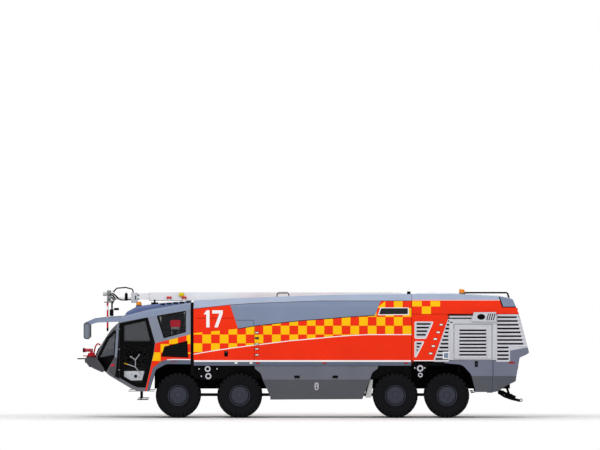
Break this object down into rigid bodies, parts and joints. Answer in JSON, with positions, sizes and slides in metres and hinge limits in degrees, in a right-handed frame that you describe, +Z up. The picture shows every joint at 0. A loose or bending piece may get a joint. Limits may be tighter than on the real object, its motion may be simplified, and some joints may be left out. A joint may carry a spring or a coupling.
{
  "type": "airport fire truck",
  "caption": "Eight-wheeled airport crash tender with a glazed cab, bumper turret, roof boom with nozzle and lance, lockers and a rear engine module.",
  "frame": {"origin": "on the ground under the middle of the whole vehicle", "axes": "+X from nose to tail, +Y to its right-hand side, +Z up"},
  "size_m": [13.8135, 3.18, 3.9902],
  "materials": {
    "chassis_black": "satin black paint",
    "body_red": "gloss fluorescent red paint",
    "roof_grey": "gloss light blue-grey paint",
    "trim_grey": "satin grey paint",
    "silver_panel": "brushed and lacquered",
    "interior_plastic": "grained",
    "seat_fabric": "woven",
    "glass": "tinted",
    "lamp_lens": "clear moulded lens",
    "engine_iron": "as cast",
    "turret_red": "gloss red paint",
    "boom_white": "gloss white paint",
    "steel": "machined",
    "lance_red": "gloss, red and white bands",
    "hose_rubber": "matt",
    "tyre": "matt",
    "wheel_grey": "satin dark grey paint"
  },
  "bodies": {
    "root": {"chassis_frame": "chassis_black", "axle_housings": "chassis_black", "cab_shell": "body_red", "cab_glass": "glass", "cab_roof": "roof_grey", "cab_floor": "interior_plastic", "dashboard": "interior_plastic", "seats": "seat_fabric", "bumper": "trim_grey", "steps": "chassis_black", "tank_body": "body_red", "roof_cap": "roof_grey", "sills": "trim_grey", "wheel_housings": "chassis_black", "lockers": "silver_panel", "engine_module": "body_red", "side_grilles": "silver_panel", "rear_lower": "trim_grey", "engine_block": "engine_iron", "lamps": "lamp_lens", "roof_fittings": "silver_panel", "boom_base": "boom_white"},
    "knuckle_1_left": {"knuckle_1_left": "steel"},
    "wheel_1_left": {"tyre_1_left": "tyre", "rim_1_left": "wheel_grey"},
    "knuckle_1_right": {"knuckle_1_right": "steel"},
    "wheel_1_right": {"tyre_1_right": "tyre", "rim_1_right": "wheel_grey"},
    "knuckle_2_left": {"knuckle_2_left": "steel"},
    "wheel_2_left": {"tyre_2_left": "tyre", "rim_2_left": "wheel_grey"},
    "knuckle_2_right": {"knuckle_2_right": "steel"},
    "wheel_2_right": {"tyre_2_right": "tyre", "rim_2_right": "wheel_grey"},
    "wheel_3_left": {"tyre_3_left": "tyre", "rim_3_left": "wheel_grey"},
    "wheel_3_right": {"tyre_3_right": "tyre", "rim_3_right": "wheel_grey"},
    "wheel_4_left": {"tyre_4_left": "tyre", "rim_4_left": "wheel_grey"},
    "wheel_4_right": {"tyre_4_right": "tyre", "rim_4_right": "wheel_grey"},
    "cab_door_left": {"cab_door_left": "trim_grey", "cab_door_glass_left": "glass"},
    "engine_door_left": {"engine_door_left": "silver_panel"},
    "locker_flap_left": {"locker_flap_left": "trim_grey"},
    "cab_door_right": {"cab_door_right": "trim_grey", "cab_door_glass_right": "glass"},
    "engine_door_right": {"engine_door_right": "silver_panel"},
    "locker_flap_right": {"locker_flap_right": "trim_grey"},
    "turret_column": {"turret_column": "turret_red"},
    "turret_barrel": {"turret_barrel": "turret_red"},
    "boom": {"boom_outer": "boom_white"},
    "boom_slide": {"boom_inner": "boom_white", "boom_head": "boom_white", "boom_hoses": "hose_rubber"},
    "boom_nozzle": {"boom_nozzle": "steel"},
    "lance": {"lance": "lance_red"},
    "lift_barrels": {"lift_barrels": "boom_white"},
    "lift_rods": {"lift_rods": "steel"}
  },
  "joints": [
    {"name": "steer_1_left", "type": "hinge", "parent": "root", "child": "knuckle_1_left", "pos_m": [-3.81, -1, 0.687], "axis": [0, 0, 1], "range_deg": [-28, 28]},
    {"name": "spin_1_left", "type": "hinge", "parent": "knuckle_1_left", "child": "wheel_1_left", "pos_m": [-3.81, -1.18, 0.687], "axis": [0, 1, 0], "continuous": true},
    {"name": "steer_1_right", "type": "hinge", "parent": "root", "child": "knuckle_1_right", "pos_m": [-3.81, 1, 0.687], "axis": [0, 0, 1], "range_deg": [-28, 28]},
    {"name": "spin_1_right", "type": "hinge", "parent": "knuckle_1_right", "child": "wheel_1_right", "pos_m": [-3.81, 1.18, 0.687], "axis": [0, 1, 0], "continuous": true},
    {"name": "steer_2_left", "type": "hinge", "parent": "root", "child": "knuckle_2_left", "pos_m": [-1.93, -1, 0.687], "axis": [0, 0, 1], "range_deg": [-20, 20]},
    {"name": "spin_2_left", "type": "hinge", "parent": "knuckle_2_left", "child": "wheel_2_left", "pos_m": [-1.93, -1.18, 0.687], "axis": [0, 1, 0], "continuous": true},
    {"name": "steer_2_right", "type": "hinge", "parent": "root", "child": "knuckle_2_right", "pos_m": [-1.93, 1, 0.687], "axis": [0, 0, 1], "range_deg": [-20, 20]},
    {"name": "spin_2_right", "type": "hinge", "parent": "knuckle_2_right", "child": "wheel_2_right", "pos_m": [-1.93, 1.18, 0.687], "axis": [0, 1, 0], "continuous": true},
    {"name": "spin_3_left", "type": "hinge", "parent": "root", "child": "wheel_3_left", "pos_m": [2.825, -1.18, 0.687], "axis": [0, 1, 0], "continuous": true},
    {"name": "spin_3_right", "type": "hinge", "parent": "root", "child": "wheel_3_right", "pos_m": [2.825, 1.18, 0.687], "axis": [0, 1, 0], "continuous": true},
    {"name": "spin_4_left", "type": "hinge", "parent": "root", "child": "wheel_4_left", "pos_m": [4.4, -1.18, 0.687], "axis": [0, 1, 0], "continuous": true},
    {"name": "spin_4_right", "type": "hinge", "parent": "root", "child": "wheel_4_right", "pos_m": [4.4, 1.18, 0.687], "axis": [0, 1, 0], "continuous": true},
    {"name": "cab_door_left_swing", "type": "hinge", "parent": "root", "child": "cab_door_left", "pos_m": [-5.595, -1.515, 2], "axis": [0, 0, -1], "range_deg": [0, 75]},
    {"name": "engine_door_left_swing", "type": "hinge", "parent": "root", "child": "engine_door_left", "pos_m": [4.608, -1.515, 2.33], "axis": [0, 0, -1], "range_deg": [0, 100]},
    {"name": "locker_flap_left_lift", "type": "hinge", "parent": "root", "child": "locker_flap_left", "pos_m": [0.4, -1.512, 1.588], "axis": [-1, 0, 0], "range_deg": [0, 90]},
    {"name": "cab_door_right_swing", "type": "hinge", "parent": "root", "child": "cab_door_right", "pos_m": [-5.595, 1.515, 2], "axis": [0, 0, 1], "range_deg": [0, 75]},
    {"name": "engine_door_right_swing", "type": "hinge", "parent": "root", "child": "engine_door_right", "pos_m": [4.608, 1.515, 2.33], "axis": [0, 0, 1], "range_deg": [0, 100]},
    {"name": "locker_flap_right_lift", "type": "hinge", "parent": "root", "child": "locker_flap_right", "pos_m": [0.4, 1.512, 1.588], "axis": [1, 0, 0], "range_deg": [0, 90]},
    {"name": "turret_pan", "type": "hinge", "parent": "root", "child": "turret_column", "pos_m": [-6.48, 0, 1.9], "axis": [0, 0, 1], "range_deg": [-90, 90]},
    {"name": "turret_tilt", "type": "hinge", "parent": "turret_column", "child": "turret_barrel", "pos_m": [-6.48, 0, 2.05], "axis": [0, 1, 0], "range_deg": [-15, 60]},
    {"name": "boom_lift", "type": "hinge", "parent": "root", "child": "boom", "pos_m": [2.9, 0, 3.73], "axis": [0, 1, 0], "range_deg": [0, 65]},
    {"name": "boom_extend", "type": "slide", "parent": "boom", "child": "boom_slide", "axis": [-1, 0, 0], "range_m": [0, 3.5]},
    {"name": "nozzle_tilt", "type": "hinge", "parent": "boom_slide", "child": "boom_nozzle", "pos_m": [-5.9, 0, 3.77], "axis": [0, 1, 0], "range_deg": [-25, 60]},
    {"name": "lance_swing", "type": "hinge", "parent": "boom_slide", "child": "lance", "pos_m": [-5.985, 0, 3.54], "axis": [0, 1, 0], "range_deg": [0, 90]},
    {"name": "lift_barrel_swing", "type": "hinge", "parent": "root", "child": "lift_barrels", "pos_m": [2.25, 0, 3.56], "axis": [0, 1, 0], "range_deg": [0, 83]},
    {"name": "lift_rod_slide", "type": "slide", "parent": "lift_barrels", "child": "lift_rods", "axis": [-0.9961, 0, 0.0885], "range_m": [0, 0.646]}
  ],
  "couplings": [
    {"joint": "steer_1_right", "follows": "steer_1_left", "ratio": 1},
    {"joint": "steer_2_left", "follows": "steer_1_left", "ratio": 0.7},
    {"joint": "steer_2_right", "follows": "steer_1_left", "ratio": 0.7},
    {"joint": "lift_barrel_swing", "follows": "boom_lift", "ratio": 1.2568},
    {"joint": "lift_rod_slide", "follows": "boom_lift", "m_per_rad": 0.5603}
  ]
}
